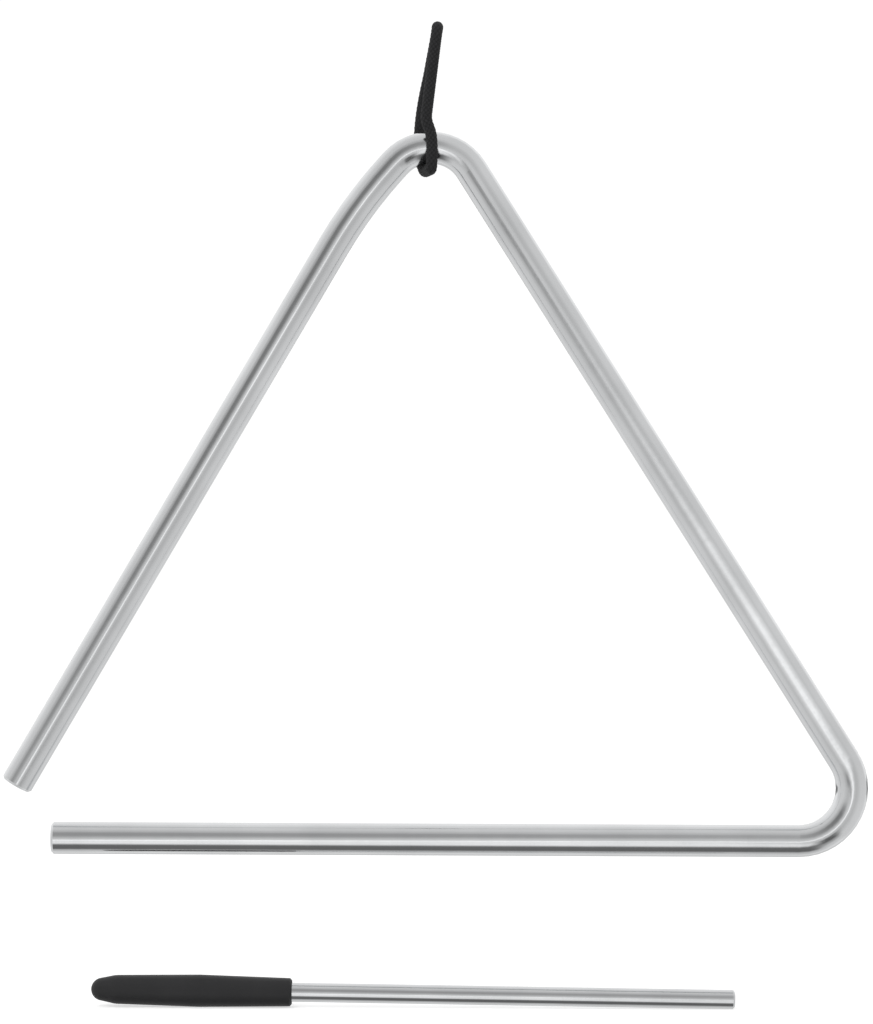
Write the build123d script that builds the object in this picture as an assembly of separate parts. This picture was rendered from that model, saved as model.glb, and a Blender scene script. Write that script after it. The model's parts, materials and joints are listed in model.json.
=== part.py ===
# Triangle instrument with hanging cord and beater, lengths in mm, angles in degrees.
# X runs along the base bar, Z is up, Y goes away from the player.
# The origin is the inside of the cord's top fold, where a hook bears.

import os
from math import acos, atan2, cos, degrees, hypot, pi, radians, sin, sqrt, tan

from build123d import *

# Bent bar
bar_diameter = 8.0
base_length = 203.2
left_leg_length = 168.0
open_corner_gap = 7.1
corner_bend_radius = 13.2
apex_bend_radius = 12.0
ease_distance = 29.3
bar_end_bevel = 0.6
apex_angle = 62.75
ease_angle = 11.9
right_corner_angle = 57.5
ease_share = 0.9

# Hanging cord
cord_diameter = 2.8
hook_diameter = 4.0
loop_height = 24.7
loop_offset = 2.95
apex_offset = 1.46
seat_clearance = 0.3
strand_clearance = 0.75
front_strand_offset = 1.65
back_strand_offset = 1.4
strand_bend_height = 6.5
front_bend_offset = 0.15
round_turn_share = 0.92
loose_bend_share = 0.06

# Beater
beater_length = 160.3
beater_start = 85.2
beater_gap = 29.9
rod_diameter = 4.76
rod_end_bevel = 0.5
grip_length = 50.0
grip_wall = 1.62
grip_widest_from_end = 27.0
grip_shoulder_wall = 1.22
grip_dome_length = 6.9
grip_nose_share = 0.79
shoulder_round_share = 2.0
grip_mouth_wall = 1.12
mouth_bevel_share = 0.45
grip_end_wall = 4.0

# Radii and angles worked out from the sizes above
bar_r = bar_diameter / 2
cord_r = cord_diameter / 2
rod_r = rod_diameter / 2
grip_r = rod_r + grip_wall
half_apex = radians((apex_angle + ease_angle) / 2)
half_corner = radians(right_corner_angle / 2)
right_lean = pi / 2 - 2 * half_corner
left_lean = radians(apex_angle) - right_lean
ease_lean = left_lean + radians(ease_angle)


def tube(path, radius):
    section = Plane(origin=path @ 0, z_dir=path % 0) * Circle(radius)
    return sweep(section, path=path)


def circles_at(solid, points, reach):
    rims = solid.edges().filter_by(GeomType.CIRCLE)
    return [e for e in rims if any((e.arc_center - Vector(p)).length < reach for p in points)]


# The cord carries the bar at the seat, on the centre line of the apex bend, left of its top.
# From there follow the sharp corners and the free ends of the centre line.
# The left leg is eased over to the apex bend by a slight second bend, the knee.
seat_x = -loop_offset
seat_z = -loop_height - bar_r
bend_z = seat_z - sqrt(apex_bend_radius**2 - (loop_offset - apex_offset) ** 2)
apex_reach = apex_bend_radius / sin(half_apex)
apex_lean = (right_lean - ease_lean) / 2
apex_x = -apex_offset - apex_reach * sin(apex_lean)
apex_z = bend_z + apex_reach * cos(apex_lean)
knee_x = apex_x - ease_distance * sin(ease_lean)
knee_z = apex_z - ease_distance * cos(ease_lean)
left_end_x = knee_x - left_leg_length * sin(left_lean)
left_end_z = knee_z - left_leg_length * cos(left_lean)
base_z = left_end_z - bar_r * sin(left_lean) - open_corner_gap - bar_r
corner_x = apex_x + (apex_z - base_z) * tan(right_lean)
base_run = base_length - bar_r - corner_bend_radius + corner_bend_radius / tan(half_corner)
base_end_x = corner_x - base_run
ease_room = ease_distance - apex_bend_radius / tan(half_apex)
ease_radius = ease_share * ease_room / tan(radians(ease_angle / 2))

base_end = (base_end_x, 0, base_z)
right_corner = (corner_x, 0, base_z)
apex = (apex_x, 0, apex_z)
knee = (knee_x, 0, knee_z)
left_end = (left_end_x, 0, left_end_z)
bend_radii = [corner_bend_radius, apex_bend_radius, ease_radius]
bar_path = FilletPolyline(base_end, right_corner, apex, knee, left_end, radius=bend_radii)
bar_blank = tube(bar_path, bar_r)
triangle_bar = chamfer(circles_at(bar_blank, [base_end, left_end], bar_r), bar_end_bevel)

# The cord folds over the hook, runs down the front, turns under the bar and runs up the back.
# Its loop is drawn as two lengths, which meet halfway up the strands and join as one.
fold_r = hook_diameter / 2 + cord_r
wrap_r = bar_r + seat_clearance + cord_r
strand_y = bar_r + strand_clearance + cord_r
wrap_z = seat_z - wrap_r
strand_bend_z = seat_z + strand_bend_height
fold_front = (0, -fold_r, cord_r)
bend_front = (seat_x + front_bend_offset, -strand_y, strand_bend_z)
wrap_front = (seat_x + front_strand_offset, -strand_y, wrap_z)
wrap_back = (seat_x - back_strand_offset, strand_y, wrap_z)
bend_back = (seat_x - back_strand_offset, strand_y, strand_bend_z)
fold_back = (0, fold_r, cord_r)
mid_front = (Vector(fold_front) + Vector(bend_front)) / 2
mid_back = (Vector(fold_back) + Vector(bend_back)) / 2


def loose_radius(before, here, after):
    run_in = Vector(here) - Vector(before)
    run_out = Vector(after) - Vector(here)
    half_turn = radians(run_in.get_angle(run_out)) / 2
    return loose_bend_share * min(run_in.length, run_out.length) / tan(half_turn)


fold_radii = [fold_r * round_turn_share, fold_r * round_turn_share]
wrap_radii = [
    loose_radius(fold_front, bend_front, wrap_front),
    wrap_r * round_turn_share,
    wrap_r * round_turn_share,
    loose_radius(wrap_back, bend_back, fold_back),
]
upper_path = FilletPolyline(mid_back, fold_back, fold_front, mid_front, radius=fold_radii)
lower_path = FilletPolyline(
    mid_front, bend_front, wrap_front, wrap_back, bend_back, mid_back, radius=wrap_radii
)
hanger_cord = tube(upper_path, cord_r) + tube(lower_path, cord_r)
hanger_length = upper_path.length + lower_path.length
print("cord bend radii", [round(r, 2) for r in fold_radii + wrap_radii])
print("cord length", round(hanger_length, 2), "volume", round(hanger_cord.volume, 2))
print("section x length", round(pi * cord_r**2 * hanger_length, 2))

# The beater lies on a level surface, on the widest part of its grip and on its tip.
bearing_run = beater_length - rod_end_bevel - grip_widest_from_end
beater_tilt = atan2(grip_r - rod_r, bearing_run)
rest_z = base_z - bar_r - beater_gap - 2 * grip_r
beater_z = rest_z + grip_r * cos(beater_tilt) + grip_widest_from_end * sin(beater_tilt)
beater_place = Plane(
    origin=(-beater_start, 0, beater_z),
    x_dir=(0, 1, 0),
    z_dir=(cos(beater_tilt), 0, -sin(beater_tilt)),
)

rod_blank = Cylinder(
    rod_r, beater_length - grip_end_wall, align=(Align.CENTER, Align.CENTER, Align.MIN)
)
rod_turned = chamfer(rod_blank.edges().filter_by(GeomType.CIRCLE), rod_end_bevel)
beater_rod = beater_place.location * Pos(0, 0, grip_end_wall) * rod_turned

# The grip is a turned sleeve with a domed closed end and a blind bore that fits the rod.
# The dome is a round nose, a straight flank that touches it and a rounded shoulder.
# From the shoulder the grip swells to its widest place, then tapers to a bevelled mouth.
shoulder_r = rod_r + grip_shoulder_wall
nose_r = shoulder_r * grip_nose_share
round_r = shoulder_r * shoulder_round_share
round_x = shoulder_r - round_r
flank_rise = grip_dome_length - nose_r
flank_lean = acos((nose_r - round_r) / hypot(round_x, flank_rise)) - atan2(flank_rise, round_x)
flank_turn = degrees(flank_lean)
nose_arc = CenterArc((0, nose_r), nose_r, -90, 90 - flank_turn)
shoulder_arc = CenterArc((round_x, grip_dome_length), round_r, -flank_turn, flank_turn)
rim_r = rod_r + grip_mouth_wall
mouth_bevel = grip_mouth_wall * mouth_bevel_share
flank_line = Line(nose_arc @ 1, shoulder_arc @ 0)
sleeve_lines = Polyline(
    shoulder_arc @ 1,
    (grip_r, grip_widest_from_end),
    (rim_r, grip_length - mouth_bevel),
    (rim_r - mouth_bevel, grip_length),
    (rod_r, grip_length),
    (rod_r, grip_end_wall),
    (0, grip_end_wall),
    (0, 0),
)
grip_outline = make_face(nose_arc + flank_line + shoulder_arc + sleeve_lines)
grip_turned = revolve(Plane.XZ * grip_outline, axis=Axis.Z)
beater_grip = beater_place.location * grip_turned

nodes = {
    "hanger_cord": hanger_cord,
    "triangle_bar": triangle_bar,
    "beater_rod": beater_rod,
    "beater_grip": beater_grip,
}
os.makedirs("parts", exist_ok=True)
for name, solid in nodes.items():
    export_step(solid, f"parts/{name}.step")
    box = solid.bounding_box()
    print(name, round(solid.volume, 1), [round(v, 2) for v in (*box.min, *box.max)])
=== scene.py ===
import json
from math import acos, cos, pi, radians, sin

import bpy
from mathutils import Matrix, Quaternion, Vector


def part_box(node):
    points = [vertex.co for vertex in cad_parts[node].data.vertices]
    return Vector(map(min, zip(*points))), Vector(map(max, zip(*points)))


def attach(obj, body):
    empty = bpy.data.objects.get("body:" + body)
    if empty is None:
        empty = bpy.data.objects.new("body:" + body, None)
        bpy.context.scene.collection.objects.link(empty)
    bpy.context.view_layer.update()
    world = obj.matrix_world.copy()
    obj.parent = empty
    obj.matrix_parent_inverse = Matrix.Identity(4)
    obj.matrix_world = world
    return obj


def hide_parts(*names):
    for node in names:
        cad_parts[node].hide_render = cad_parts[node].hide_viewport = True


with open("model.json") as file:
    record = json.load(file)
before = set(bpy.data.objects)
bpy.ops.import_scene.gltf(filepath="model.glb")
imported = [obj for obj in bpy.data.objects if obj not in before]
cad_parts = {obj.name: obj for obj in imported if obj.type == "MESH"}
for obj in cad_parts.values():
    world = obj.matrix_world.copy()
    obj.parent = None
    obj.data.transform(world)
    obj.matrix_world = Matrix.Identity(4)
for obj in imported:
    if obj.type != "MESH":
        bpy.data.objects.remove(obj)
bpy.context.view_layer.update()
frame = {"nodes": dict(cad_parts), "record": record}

# Triangle instrument: a braided loop in place of the plain cord solid, the finishes and the studio.
# Lengths are in metres. The camera stands on the -Y side and looks along +Y.
MM = 0.001
WHITE = (1.0, 1.0, 1.0, 1.0)

# Photograph: its height in pixels, the size of a pixel at the triangle, the view's middle and the lens
PHOTO_HEIGHT = 1024
PIXEL = 0.249 * MM
VIEW_CENTRE = Vector((0.27, 0.0, -119.3)) * MM
VIEW_ROLL = radians(-0.25)
LENS = 135.0
SENSOR = 36.0

# Cord: the route of the part's source, with six points more for its straight runs, its kink and its turn.
# Two points of the strand behind the bar are moved aside by up to 0.7 mm, to follow the photograph.
CORD_DIAMETER = 2.8 * MM
CORD_ROUTE_MM = [
    (-2.18, 4.78, -10.4),
    (-1.24, 4.18, -5.3),
    (0.0, 3.4, 1.4),
    (0.0, -3.4, 1.4),
    (-0.78, -4.17, -5.2),
    (-2.45, -5.84, -19.3),
    (-2.8, -6.15, -22.2),
    (-1.5, -6.15, -25.4),
    (-1.2, -6.15, -28.5),
    (-1.3, -6.15, -34.4),
    (-1.7, -3.6, -34.4),
    (-3.7, 6.15, -34.4),
    (-4.9, 6.15, -22.2),
    (-2.18, 4.78, -10.4),
]
CORD_STEPS = 64
CORD_SIDES = 48

# Braid: strands in each set, run from crossing to crossing, relief about its mean height, and strand form
BRAID_STRANDS = 8
BRAID_STEP = 1.25 * MM
BRAID_RELIEF = 0.17 * MM
BRAID_MEAN = 0.75
STRAND_POWER = 0.7
STRAND_LEVEL = 0.56
STRAND_RISE = 0.44
CROSSING_SLOPE = 1.7

# Noise: the middle range of its values, which is spread out, and the detail of fine noise
NOISE_RANGE = (0.3, 0.7)
FINE_DETAIL = 2.0

# Chrome: smudges, polishing haze and an uneven face, with noise scales per metre
SMUDGE_SCALE = 55.0
SMUDGE_DETAIL = 5.0
SMUDGE_SHADE = 0.9
SMUDGE_ROUGHNESS = (0.07, 0.13)
HAZE_SCALE = 1400.0
HAZE_ROUGHNESS = (0.0, 0.05)
WAVE_SCALE = 160.0
WAVE_STRENGTH = 0.12
WAVE_HEIGHT = 0.2 * MM

# Rubber: rubbed places, which are paler and smoother, and a moulded grain
RUBBER_SPECULAR = 0.15
RUB_SCALE = 70.0
RUB_DETAIL = 4.0
RUB_SHADE = 1.25
RUB_SHARES = (0.0, 0.8)
RUB_ROUGHNESS = (0.5, 0.4)
GRAIN_SCALE = 3200.0
GRAIN_ROUGHNESS = (-0.05, 0.05)
GRAIN_STRENGTH = 0.25
GRAIN_HEIGHT = 0.12 * MM

# Yarn: fibres drawn out along the cord, with painted shade between the strands and a painted highlight on
# their crests
YARN_SPECULAR = 0.2
YARN_SHEEN = 0.05
SHEEN_ROUGHNESS = 0.5
FIBRE_SCALE = 5200.0
FIBRE_STRETCH = (1.0, 1.0, 0.3)
FIBRE_SHARES = (0.3, 1.0)
FIBRE_ROUGHNESS = (0.7, 0.85)
FIBRE_STRENGTH = 0.4
FIBRE_HEIGHT = 0.05 * MM
# Painted shade between the strands and painted highlight on their crests, as shares of the colour
PAINTED_GAP_SHADE = 0.5
PAINTED_CREST_HIGHLIGHT = 1.9

# Light: the levels on dull surfaces and of the white backdrop, the key lamp, and what the floor adds
# to read as white
ROOM_LEVEL = 0.62
BACKDROP_LEVEL = 1.05
KEY_PLACE = Vector((-0.7, -1.0, 0.8))
KEY_SIZE = 0.9
KEY_POWER = 7.5
FLOOR_SIZE = 6.0
FLOOR_ALBEDO = 0.8
FLOOR_GLOW = 0.55

# Room that metal reflects: pairs of place and grey, by the angle from the camera's side in half turns
EDGE_STOP = (0.72, 0.95)
SIDE_STOPS = [(0.0, 0.72), (0.16, 0.58), (0.38, 0.72), (0.6, 0.74), EDGE_STOP]
LOW_STOPS = [
    (0.0, 0.7),
    (0.04, 0.75),
    (0.075, 1.0),
    (0.17, 1.0),
    (0.27, 0.16),
    (0.42, 0.15),
    (0.52, 0.62),
    EDGE_STOP,
]
LOW_LEFT_STOPS = [
    (0.0, 0.72),
    (0.03, 0.6),
    (0.08, 0.38),
    (0.16, 0.33),
    (0.245, 0.54),
    (0.32, 0.68),
    (0.6, 0.74),
    EDGE_STOP,
]
LOW_RIGHT_STOPS = [
    (0.0, 0.7),
    (0.1, 0.6),
    (0.17, 0.12),
    (0.26, 0.12),
    (0.35, 0.42),
    (0.45, 0.7),
    EDGE_STOP,
]
HIGH_LEFT_STOPS = [
    (0.0, 0.72),
    (0.03, 0.66),
    (0.08, 0.42),
    (0.14, 0.24),
    (0.22, 0.22),
    (0.31, 0.5),
    (0.4, 0.7),
    EDGE_STOP,
]

# Sectors of the room: pairs of place and share, by the way round; 0 is left, 0.25 low and 0.5 right
LOW_SHARES = [(0.14, 0.0), (0.21, 1.0), (0.29, 1.0), (0.36, 0.0)]
LOW_LEFT_SHARES = [(0.02, 0.0), (0.045, 1.0), (0.07, 1.0), (0.091, 0.0)]
LOW_RIGHT_SHARES = [(0.305, 0.0), (0.335, 1.0), (0.362, 1.0), (0.377, 0.0)]
HIGH_LEFT_SHARES = [(0.68, 0.0), (0.76, 0.6), (0.88, 1.0), (0.915, 1.0), (0.985, 0.0)]
ROOM_SECTORS = [
    (LOW_STOPS, LOW_SHARES),
    (LOW_LEFT_STOPS, LOW_LEFT_SHARES),
    (LOW_RIGHT_STOPS, LOW_RIGHT_SHARES),
    (HIGH_LEFT_STOPS, HIGH_LEFT_SHARES),
]

# Behind the object: a dark horizon over a greyer ground, by height from straight down to straight up.
# Its shares go by the angle from the camera's side.
HORIZON_STOPS = [(0.2, 0.72), (0.42, 0.84), (0.45, 0.22), (0.49, 0.22), (0.52, 1.0)]
HORIZON_SHARES = [(0.64, 0.0), (0.76, 1.0)]

# Window near the camera, which metal shows as a bright stripe: its direction, half sizes, lean and gain
WINDOW_WAY = (0.17, -0.98, -0.01)
WINDOW_HALF = (1.0, 0.5, 0.087)
WINDOW_LEAN = radians(-32.5)
WINDOW_GAIN = 0.6


def add(tree, kind, settings=(), **inputs):
    """A node of the kind, with its settings, and its inputs set or linked by name.
    An input whose name is shared by others goes by its number, as in i0."""
    node = tree.nodes.new(kind)
    for key, value in dict(settings).items():
        setattr(node, key, value)
    for key, value in inputs.items():
        by_number = key[0] == "i" and key[1:].isdigit()
        socket = node.inputs[int(key[1:])] if by_number else node.inputs[key]
        if isinstance(value, bpy.types.NodeSocket):
            tree.links.new(value, socket)
        else:
            socket.default_value = value
    return node


def calc(tree, operation, first, second=0.0):
    return add(tree, "ShaderNodeMath", {"operation": operation}, i0=first, i1=second).outputs[0]


def noise(tree, place, scale, detail=FINE_DETAIL, stretch=(1.0, 1.0, 1.0)):
    scaled = add(tree, "ShaderNodeVectorMath", {"operation": "MULTIPLY"}, i0=place, i1=stretch)
    texture = add(tree, "ShaderNodeTexNoise", i0=scaled.outputs[0], Scale=scale, Detail=detail)
    return texture.outputs[0]


def spread(tree, value, ends):
    """The middle range of a noise value, spread from the first of the ends to the second."""
    node = add(tree, "ShaderNodeMapRange", Value=value)
    for key, number in zip(("From Min", "From Max", "To Min", "To Max"), (*NOISE_RANGE, *ends)):
        node.inputs[key].default_value = number
    return node.outputs[0]


def ramp(tree, value, stops):
    """A grey ramp over 0 to 1, with its stops as pairs of place and grey."""
    node = add(tree, "ShaderNodeValToRGB", i0=value)
    node.color_ramp.interpolation = "EASE"
    elements = node.color_ramp.elements
    while len(elements) < len(stops):
        elements.new(0.5)
    for element, (place, grey) in zip(elements, stops):
        element.position = place
        element.color = (grey, grey, grey, 1.0)
    return node.outputs[0]


def blend_color(tree, share, first, second, mode="MIX"):
    settings = {"data_type": "RGBA", "blend_type": mode}
    return add(tree, "ShaderNodeMix", settings, i0=share, i6=first, i7=second).outputs[2]


def bump(tree, height, strength, distance):
    return add(tree, "ShaderNodeBump", Height=height, Strength=strength, Distance=distance).outputs[0]


def tinted(color, share=1.0):
    """The opaque colour, made darker or paler by a share."""
    return (*[share * part for part in color], 1.0)


def slot_color(name):
    slots = {m["slot"]: m["base_color"] for m in frame["record"]["materials"]}
    return slots[name]


def new_material(name, color, metallic):
    material = bpy.data.materials.new(name)
    material.use_nodes = True
    shader = material.node_tree.nodes["Principled BSDF"]
    shader.inputs["Base Color"].default_value = tinted(color)
    shader.inputs["Metallic"].default_value = metallic
    return material, material.node_tree, shader


def link_surface(tree, shader, shade, rough, normal):
    tree.links.new(shade, shader.inputs["Base Color"])
    tree.links.new(rough, shader.inputs["Roughness"])
    tree.links.new(normal, shader.inputs["Normal"])


def chrome(name, color):
    """Bright plating with fine polishing haze, faint handling marks and a slightly uneven face."""
    material, tree, shader = new_material(name, color, 1.0)
    place = add(tree, "ShaderNodeTexCoord").outputs["Object"]
    smudge = noise(tree, place, SMUDGE_SCALE, SMUDGE_DETAIL)
    haze = noise(tree, place, HAZE_SCALE)
    wave = noise(tree, place, WAVE_SCALE)
    marked = spread(tree, smudge, (0.0, 1.0))
    shade = blend_color(tree, marked, tinted(color), tinted(color, SMUDGE_SHADE))
    rough = calc(tree, "ADD", spread(tree, smudge, SMUDGE_ROUGHNESS), spread(tree, haze, HAZE_ROUGHNESS))
    link_surface(tree, shader, shade, rough, bump(tree, wave, WAVE_STRENGTH, WAVE_HEIGHT))
    return material


def rubber(name, color):
    """Satin moulded rubber with a fine grain and faintly paler rubbed places."""
    material, tree, shader = new_material(name, color, 0.0)
    shader.inputs["Specular IOR Level"].default_value = RUBBER_SPECULAR
    place = add(tree, "ShaderNodeTexCoord").outputs["Object"]
    rubbed = noise(tree, place, RUB_SCALE, RUB_DETAIL)
    grain = noise(tree, place, GRAIN_SCALE)
    shade = blend_color(tree, spread(tree, rubbed, RUB_SHARES), tinted(color), tinted(color, RUB_SHADE))
    rough = calc(tree, "ADD", spread(tree, rubbed, RUB_ROUGHNESS), spread(tree, grain, GRAIN_ROUGHNESS))
    link_surface(tree, shader, shade, rough, bump(tree, grain, GRAIN_STRENGTH, GRAIN_HEIGHT))
    return material


def braid_fabric(name, color):
    """Matte black yarn: its fibres run along the cord, with painted shade between the strands and a
    painted highlight that makes the strands' crests a little paler.
    """
    material, tree, shader = new_material(name, color, 0.0)
    shader.inputs["Specular IOR Level"].default_value = YARN_SPECULAR
    shader.inputs["Sheen Weight"].default_value = YARN_SHEEN
    shader.inputs["Sheen Roughness"].default_value = SHEEN_ROUGHNESS
    crest = add(tree, "ShaderNodeAttribute", {"attribute_name": "crest"}).outputs["Fac"]
    place = add(tree, "ShaderNodeTexCoord").outputs["Object"]
    fibre = noise(tree, place, FIBRE_SCALE, stretch=FIBRE_STRETCH)
    # Painted shade between the strands and painted highlight on their crests, set by the braid's height
    # and varied by the fibres' random tone
    fibre_tone_and_painted_crest_light = calc(tree, "MULTIPLY", crest, spread(tree, fibre, FIBRE_SHARES))
    shade = blend_color(tree, fibre_tone_and_painted_crest_light, tinted(color, PAINTED_GAP_SHADE), tinted(color, PAINTED_CREST_HIGHLIGHT))
    rough = spread(tree, fibre, FIBRE_ROUGHNESS)
    link_surface(tree, shader, shade, rough, bump(tree, fibre, FIBRE_STRENGTH, FIBRE_HEIGHT))
    return material


def spline_line(name, route):
    """Points along the NURBS spline that has the route as its control points."""
    curve = bpy.data.curves.new(name, "CURVE")
    curve.dimensions = "3D"
    curve.resolution_u = CORD_STEPS
    spline = curve.splines.new("NURBS")
    spline.points.add(len(route) - 1)
    for point, place in zip(spline.points, route):
        point.co = (*place, 1.0)
    spline.order_u = 3
    spline.use_endpoint_u = True
    line = bpy.data.objects.new(name, curve)
    mesh = bpy.data.meshes.new_from_object(line)
    points = [vertex.co.copy() for vertex in mesh.vertices]
    bpy.data.objects.remove(line)
    bpy.data.meshes.remove(mesh)
    return points


def carried_sides(points):
    """The side and forward directions at each point of a closed line, carried along it without twist.
    What is left over at the closing point is shared out evenly."""
    count = len(points)
    ahead = [(points[(i + 1) % count] - points[i - 1]).normalized() for i in range(count)]
    sides = [ahead[0].orthogonal().normalized()]
    for i in range(1, count + 1):
        turn = ahead[i - 1].rotation_difference(ahead[i % count])
        sides.append(turn @ sides[-1])
    first, last = sides[0], sides.pop()
    left_over = acos(max(-1.0, min(1.0, first.dot(last))))
    if last.cross(first).dot(ahead[0]) < 0:
        left_over = -left_over
    return [
        (Quaternion(along, left_over * i / count) @ side, along)
        for i, (side, along) in enumerate(zip(sides, ahead))
    ]


def braid_height(right, left):
    """Height from 0 to 1 of two sets of crossing strands, which pass over and under in turn."""
    over = max(-1.0, min(1.0, CROSSING_SLOPE * sin(pi * right) * sin(pi * left)))
    right_crest = abs(sin(pi * right)) ** STRAND_POWER * (STRAND_LEVEL + STRAND_RISE * over)
    left_crest = abs(sin(pi * left)) ** STRAND_POWER * (STRAND_LEVEL - STRAND_RISE * over)
    return max(right_crest, left_crest)


def braided_loop(name, points):
    """A closed braided tube along the points, the last of which lies on the first, and its length."""
    line = points[:-1]
    count = len(line)
    run = [0.0]
    for here, there in zip(line, points[1:]):
        run.append(run[-1] + (there - here).length)
    crossings = round(run[-1] / BRAID_STEP)
    vertices, crests = [], []
    for i, (side, along) in enumerate(carried_sides(line)):
        across = along.cross(side)
        climb = crossings * run[i] / run[-1]
        for k in range(CORD_SIDES):
            turn = k / CORD_SIDES
            height = braid_height(BRAID_STRANDS * turn + climb, BRAID_STRANDS * turn - climb)
            radius = CORD_DIAMETER / 2 + BRAID_RELIEF * (height - BRAID_MEAN)
            outward = side * cos(2 * pi * turn) + across * sin(2 * pi * turn)
            vertices.append(line[i] + outward * radius)
            crests.append(height)
    faces = []
    for i in range(count):
        here, there = i * CORD_SIDES, (i + 1) % count * CORD_SIDES
        for k in range(CORD_SIDES):
            beside = (k + 1) % CORD_SIDES
            faces.append((here + k, here + beside, there + beside, there + k))
    mesh = bpy.data.meshes.new(name)
    mesh.from_pydata(vertices, [], faces)
    mesh.attributes.new("crest", "FLOAT", "POINT").data.foreach_set("value", crests)
    mesh.shade_smooth()
    loop = bpy.data.objects.new(name, mesh)
    bpy.context.scene.collection.objects.link(loop)
    return loop, run[-1]


def dress(node, material):
    mesh = frame["nodes"][node].data
    mesh.materials.clear()
    mesh.materials.append(material)


def banded_room(tree, way):
    """The light that metal reflects from each way: soft bands, a horizon behind and a window."""
    parts = add(tree, "ShaderNodeSeparateXYZ", Vector=way).outputs
    aside = calc(tree, "DIVIDE", calc(tree, "ARCCOSINE", calc(tree, "MULTIPLY", parts["Y"], -1.0)), pi)
    round_way = calc(tree, "ARCTAN2", parts["Z"], parts["X"])
    turn = calc(tree, "ADD", calc(tree, "DIVIDE", round_way, 2 * pi), 0.5)
    height = calc(tree, "ADD", calc(tree, "MULTIPLY", parts["Z"], 0.5), 0.5)
    room = ramp(tree, aside, SIDE_STOPS)
    for stops, shares in ROOM_SECTORS:
        room = blend_color(tree, ramp(tree, turn, shares), room, ramp(tree, aside, stops))
    beyond = ramp(tree, aside, HORIZON_SHARES)
    room = blend_color(tree, beyond, room, ramp(tree, height, HORIZON_STOPS), "MULTIPLY")
    bands = add(tree, "ShaderNodeBackground", Color=room, Strength=1.0)
    pane = add(
        tree,
        "ShaderNodeMapping",
        {"vector_type": "TEXTURE"},
        Vector=way,
        Location=WINDOW_WAY,
        Rotation=(0.0, WINDOW_LEAN, 0.0),
        Scale=WINDOW_HALF,
    )
    glow = add(tree, "ShaderNodeTexGradient", {"gradient_type": "SPHERICAL"}, Vector=pane.outputs[0])
    pane_light = calc(tree, "MULTIPLY", glow.outputs[1], WINDOW_GAIN)
    window = add(tree, "ShaderNodeBackground", Color=WHITE, Strength=pane_light)
    return add(tree, "ShaderNodeAddShader", i0=bands.outputs[0], i1=window.outputs[0])


def studio_world():
    """White behind the object, a plain level on dull surfaces, and a room of soft bands for metal."""
    world = bpy.data.worlds.new("studio")
    bpy.context.scene.world = world
    world.use_nodes = True
    tree = world.node_tree
    tree.nodes.clear()
    way = add(tree, "ShaderNodeTexCoord").outputs["Generated"]
    room = banded_room(tree, way)
    plain = add(tree, "ShaderNodeBackground", Color=WHITE, Strength=ROOM_LEVEL)
    white = add(tree, "ShaderNodeBackground", Color=WHITE, Strength=BACKDROP_LEVEL)
    ray = add(tree, "ShaderNodeLightPath").outputs
    seen = calc(tree, "MAXIMUM", ray["Is Camera Ray"], ray["Is Transmission Ray"])
    glossy = ray["Is Glossy Ray"]
    light = add(tree, "ShaderNodeMixShader", i0=glossy, i1=plain.outputs[0], i2=room.outputs[0])
    all_rays = add(tree, "ShaderNodeMixShader", i0=seen, i1=light.outputs[0], i2=white.outputs[0])
    add(tree, "ShaderNodeOutputWorld", Surface=all_rays.outputs[0])


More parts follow.
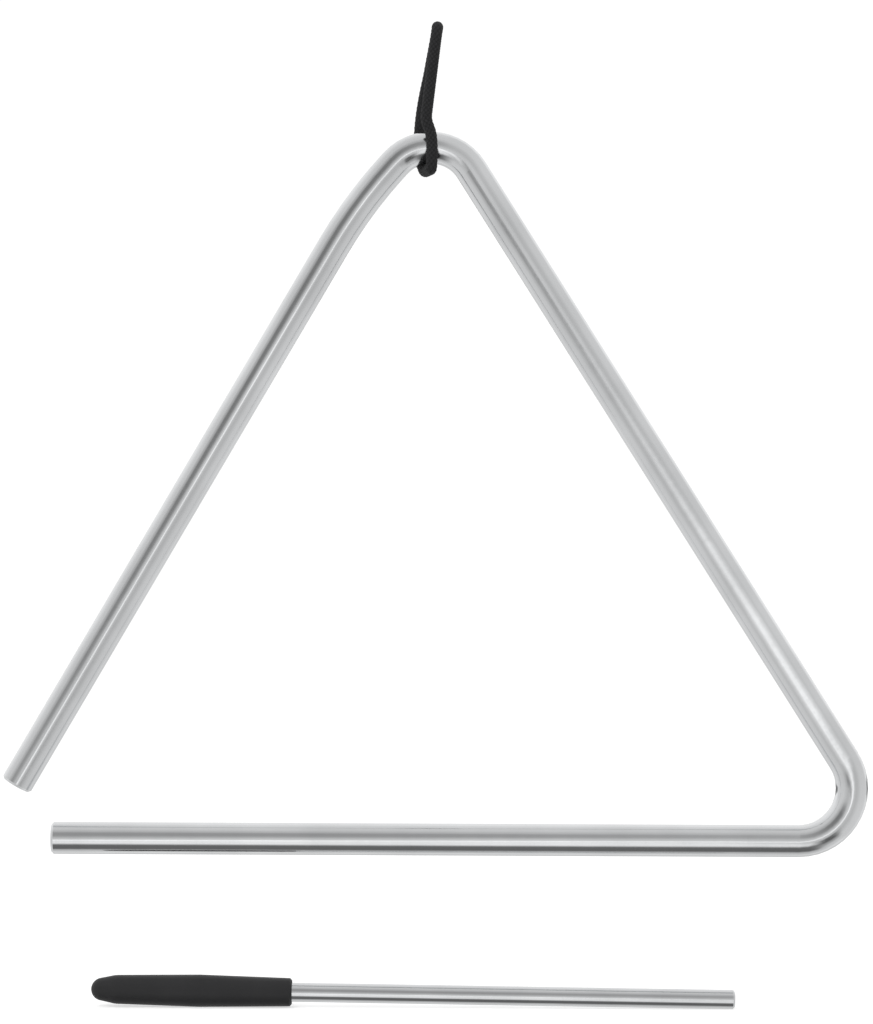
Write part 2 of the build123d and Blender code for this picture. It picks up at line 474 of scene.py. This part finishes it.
def white_floor():
    """A floor under the beater that reads as white and keeps soft shadows."""
    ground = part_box("beater_rod")[0].z
    half = FLOOR_SIZE / 2
    corners = [(-half, -half, ground), (half, -half, ground), (half, half, ground), (-half, half, ground)]
    mesh = bpy.data.meshes.new("floor")
    mesh.from_pydata(corners, [], [(0, 1, 2, 3)])
    floor = bpy.data.objects.new("floor", mesh)
    bpy.context.scene.collection.objects.link(floor)
    floor.visible_glossy = False
    material = bpy.data.materials.new("floor_white")
    material.use_nodes = True
    tree = material.node_tree
    tree.nodes.clear()
    dull = add(tree, "ShaderNodeBsdfDiffuse", Color=tinted(WHITE[:3], FLOOR_ALBEDO))
    ray = add(tree, "ShaderNodeLightPath").outputs
    glow = calc(tree, "MULTIPLY", ray["Is Camera Ray"], FLOOR_GLOW)
    lit = add(tree, "ShaderNodeEmission", Strength=glow)
    both = add(tree, "ShaderNodeAddShader", i0=dull.outputs[0], i1=lit.outputs[0])
    add(tree, "ShaderNodeOutputMaterial", Surface=both.outputs[0])
    mesh.materials.append(material)


def key_lamp():
    """One large soft lamp, above the camera and to its left, that metal does not show."""
    lamp = bpy.data.lights.new("key", "AREA")
    lamp.size = KEY_SIZE
    lamp.energy = KEY_POWER
    key = bpy.data.objects.new("key", lamp)
    key.location = KEY_PLACE
    key.rotation_mode = "QUATERNION"
    key.rotation_quaternion = (VIEW_CENTRE - KEY_PLACE).to_track_quat("-Z", "Y")
    key.visible_glossy = False
    bpy.context.scene.collection.objects.link(key)


def camera():
    data = bpy.data.cameras.new("camera")
    data.lens = LENS
    data.sensor_width = SENSOR
    away = PHOTO_HEIGHT * PIXEL * LENS / SENSOR
    eye = bpy.data.objects.new("camera", data)
    eye.location = VIEW_CENTRE - Vector((0.0, away, 0.0))
    eye.rotation_euler = (pi / 2, VIEW_ROLL, 0.0)
    bpy.context.scene.collection.objects.link(eye)
    bpy.context.scene.camera = eye


bpy.context.scene.view_settings.view_transform = "Standard"
camera()

cord_points = spline_line("cord_route", [Vector(place) * MM for place in CORD_ROUTE_MM])
cord, cord_run = braided_loop("cord_loop", cord_points)
print("cord run", round(cord_run / MM, 2), "points", len(cord_points))
cord.data.materials.append(braid_fabric("braid_black", slot_color("cord_black")))
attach(cord, "hanger")
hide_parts("hanger_cord")

dress("triangle_bar", chrome("bar_plating", slot_color("bar_chrome")))
dress("beater_rod", chrome("rod_plating", slot_color("rod_chrome")))
dress("beater_grip", rubber("grip_rubber", slot_color("grip_black")))
studio_world()
white_floor()
key_lamp()
